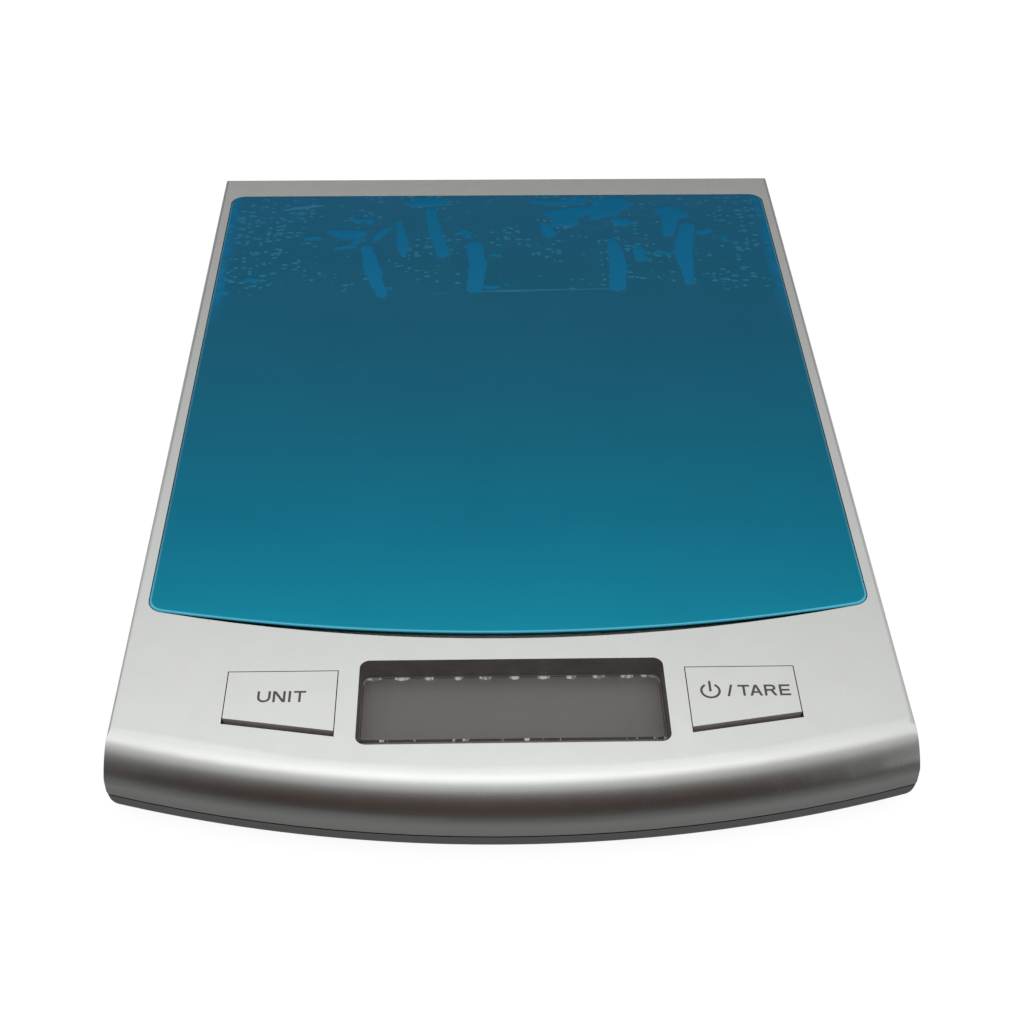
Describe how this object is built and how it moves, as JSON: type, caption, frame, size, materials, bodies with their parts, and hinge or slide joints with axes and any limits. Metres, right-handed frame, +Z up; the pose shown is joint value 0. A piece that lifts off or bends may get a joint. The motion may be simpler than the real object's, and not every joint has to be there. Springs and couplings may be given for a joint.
{
  "type": "digital kitchen scale",
  "caption": "Slim digital kitchen scale with a bowed, rolled front edge, a flush steel weighing platform under blue film, a sunken display and rocking keys.",
  "frame": {"origin": "centre of the footprint, on the surface that the feet stand on", "axes": "+X to the right seen from the front, +Y to the rear, +Z up"},
  "size_m": [0.162, 0.2362, 0.0164],
  "materials": {
    "silver_paint": "satin metallic paint on plastic",
    "base_plastic": "fine matte grey plastic",
    "dark_plastic": "matte black plastic",
    "black_rubber": "matte rubber",
    "platform_steel": "brushed stainless steel",
    "screw_steel": "zinc-plated steel",
    "blue_film": "transparent blue protective film",
    "tape": "foam tape",
    "cell_aluminium": "milled aluminium",
    "white_resin": "soft white coating",
    "display_glass": "display glass",
    "polariser": "grey polariser, no digits lit",
    "clear_film": "clear protective film",
    "zebra_rubber": "layered contact rubber",
    "board_green": "solder mask",
    "black_resin": "cast epoxy",
    "component_metal": "nickel-plated",
    "capacitor_ceramic": "fired ceramic",
    "plunger_plastic": "moulded plastic",
    "contact_metal": "spring strip",
    "lead_red": "lead sheath",
    "lead_black": "lead sheath",
    "lead_green": "lead sheath",
    "lead_white": "lead sheath"
  },
  "bodies": {
    "housing": {"top_cover": "silver_paint", "base_pan": "base_plastic", "rubber_feet": "black_rubber", "housing_screws": "screw_steel", "overload_stops": "black_rubber", "load_cell": "cell_aluminium", "gauge_coating": "white_resin", "lower_spacer": "screw_steel", "cell_base_screws": "screw_steel", "display_bezel": "dark_plastic", "display_glass": "display_glass", "front_polariser": "polariser", "rear_polariser": "polariser", "display_film": "clear_film", "zebra_strips": "zebra_rubber", "main_board": "board_green", "board_screws": "screw_steel", "controller_blob": "black_resin", "crystal": "component_metal", "capacitors": "capacitor_ceramic", "resistors": "black_resin", "unit_switch": "dark_plastic", "tare_switch": "dark_plastic", "coin_cell": "component_metal", "positive_contact": "contact_metal", "negative_contact": "contact_metal", "battery_lead_red": "lead_red", "battery_lead_black": "lead_black", "cell_lead_red": "lead_red", "cell_lead_black": "lead_black", "cell_lead_green": "lead_green", "cell_lead_white": "lead_white"},
    "platform": {"platform_plate": "platform_steel", "platform_film": "blue_film", "platform_tape": "tape", "platform_tray": "dark_plastic", "upper_spacer": "screw_steel", "cell_platform_screws": "screw_steel"},
    "unit_key": {"unit_button": "silver_paint"},
    "tare_key": {"tare_button": "silver_paint"},
    "unit_switch_plunger": {"unit_plunger": "plunger_plastic"},
    "tare_switch_plunger": {"tare_plunger": "plunger_plastic"},
    "battery_lid": {"battery_door": "base_plastic"}
  },
  "joints": [
    {"name": "platform_sink", "type": "slide", "parent": "housing", "child": "platform", "axis": [0, 0, -1], "range_m": [0, 0.0005], "stiffness_N_per_m": 40000, "springref_m": -0.00006, "deforming": ["load_cell"]},
    {"name": "unit_key_press", "type": "hinge", "parent": "housing", "child": "unit_key", "pos_m": [-0.04682, -0.0795, 0.0128], "axis": [1, 0, 0], "range_deg": [0, 1.19], "stiffness_Nm_per_rad": 0.3, "springref_deg": -0.29},
    {"name": "tare_key_press", "type": "hinge", "parent": "housing", "child": "tare_key", "pos_m": [0.04682, -0.0795, 0.0128], "axis": [1, 0, 0], "range_deg": [0, 1.19], "stiffness_Nm_per_rad": 0.3, "springref_deg": -0.29},
    {"name": "unit_plunger_travel", "type": "slide", "parent": "housing", "child": "unit_switch_plunger", "axis": [0, 0, -1], "range_m": [0, 0.00025]},
    {"name": "tare_plunger_travel", "type": "slide", "parent": "housing", "child": "tare_switch_plunger", "axis": [0, 0, -1], "range_m": [0, 0.00025]},
    {"name": "battery_door_swing", "type": "hinge", "parent": "housing", "child": "battery_lid", "pos_m": [0.04, -0.0584, 0.0028], "axis": [-1, 0, 0], "range_deg": [0, 90]}
  ],
  "couplings": [
    {"joint": "unit_plunger_travel", "follows": "unit_key_press", "m_per_rad": 0.012},
    {"joint": "tare_plunger_travel", "follows": "tare_key_press", "m_per_rad": 0.012}
  ]
}
